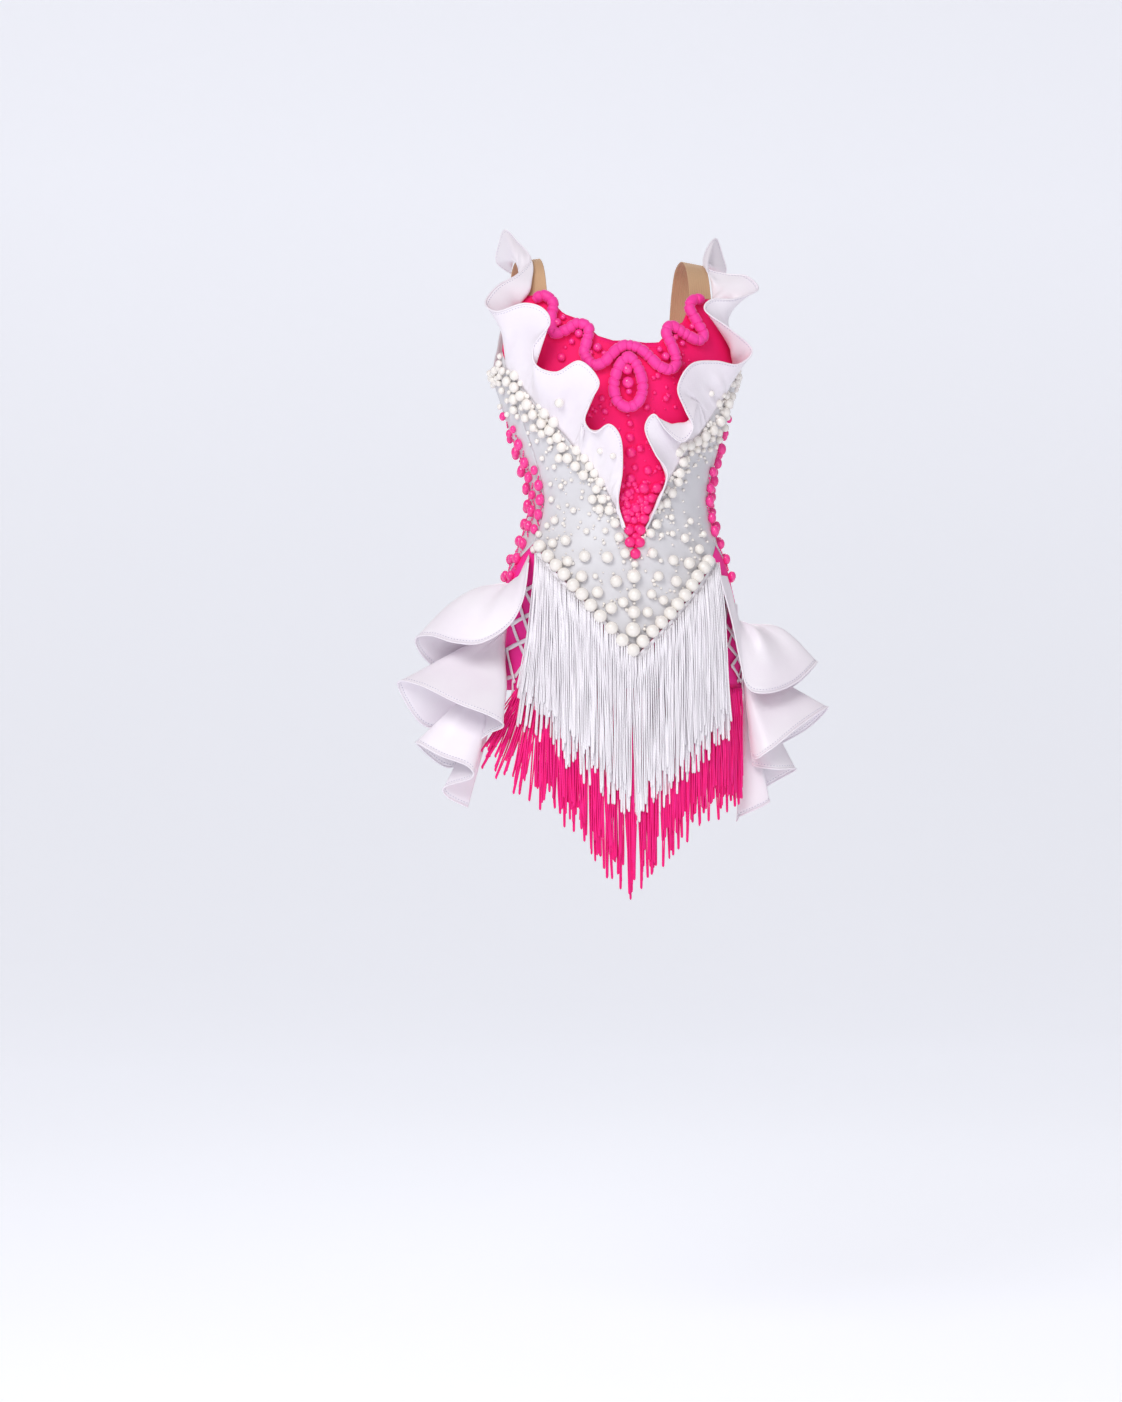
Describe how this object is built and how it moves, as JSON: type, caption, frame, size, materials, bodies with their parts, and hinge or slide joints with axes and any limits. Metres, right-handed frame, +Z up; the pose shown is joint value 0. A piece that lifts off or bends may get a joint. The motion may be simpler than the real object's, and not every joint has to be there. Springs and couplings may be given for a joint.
{
  "type": "latin dance dress",
  "caption": "Hollow worn-shape stage dress: fitted beaded bodice, pink V panel and hip yoke, satin shoulder ruffles and hip flounces, pearl trim and layered fringe.",
  "frame": {"origin": "midway between the tops of the two straps, where the shoulders carry the dress", "axes": "+Z up, the front of the dress faces -Y, the wearer's left is +X"},
  "size_m": [0.5482, 0.269, 0.8472],
  "materials": {
    "white_satin": "white satin with a soft lavender shade",
    "silver_cloth": "smooth cool silver-grey stretch cloth",
    "hot_pink_cloth": "matte hot pink stretch cloth",
    "pink_tube": "gathered pink stretch cloth over a soft cord",
    "pearl": "cream pearl, soft gloss",
    "pink_bead": "pink bead, gloss",
    "nude_elastic": "nude elastic, matte",
    "lacing_tape": "flat white tape",
    "white_fringe": "white chainette fringe",
    "pink_fringe": "hot pink chainette fringe"
  },
  "bodies": {
    "root": {"bodice_front": "silver_cloth", "bodice_back": "silver_cloth", "side_panel_right": "silver_cloth", "side_panel_left": "silver_cloth", "v_panel": "hot_pink_cloth", "hip_yoke_front": "hot_pink_cloth", "hip_yoke_back": "hot_pink_cloth", "strap_right": "nude_elastic", "strap_left": "nude_elastic", "shoulder_ruffle_right": "white_satin", "shoulder_ruffle_left": "white_satin", "hip_flounce_right": "white_satin", "hip_flounce_left": "white_satin", "neckline_tube": "pink_tube", "neckline_drop_loop": "pink_tube", "pearl_band_right": "pearl", "pearl_band_left": "pearl", "pearl_hem": "pearl", "pearl_column": "pearl", "side_beads_right": "pink_bead", "side_beads_left": "pink_bead", "lacing_right_under": "lacing_tape", "lacing_right_over": "lacing_tape", "lacing_left_under": "lacing_tape", "lacing_left_over": "lacing_tape", "fringe_white": "white_fringe", "fringe_pink": "pink_fringe"}
  },
  "joints": []
}
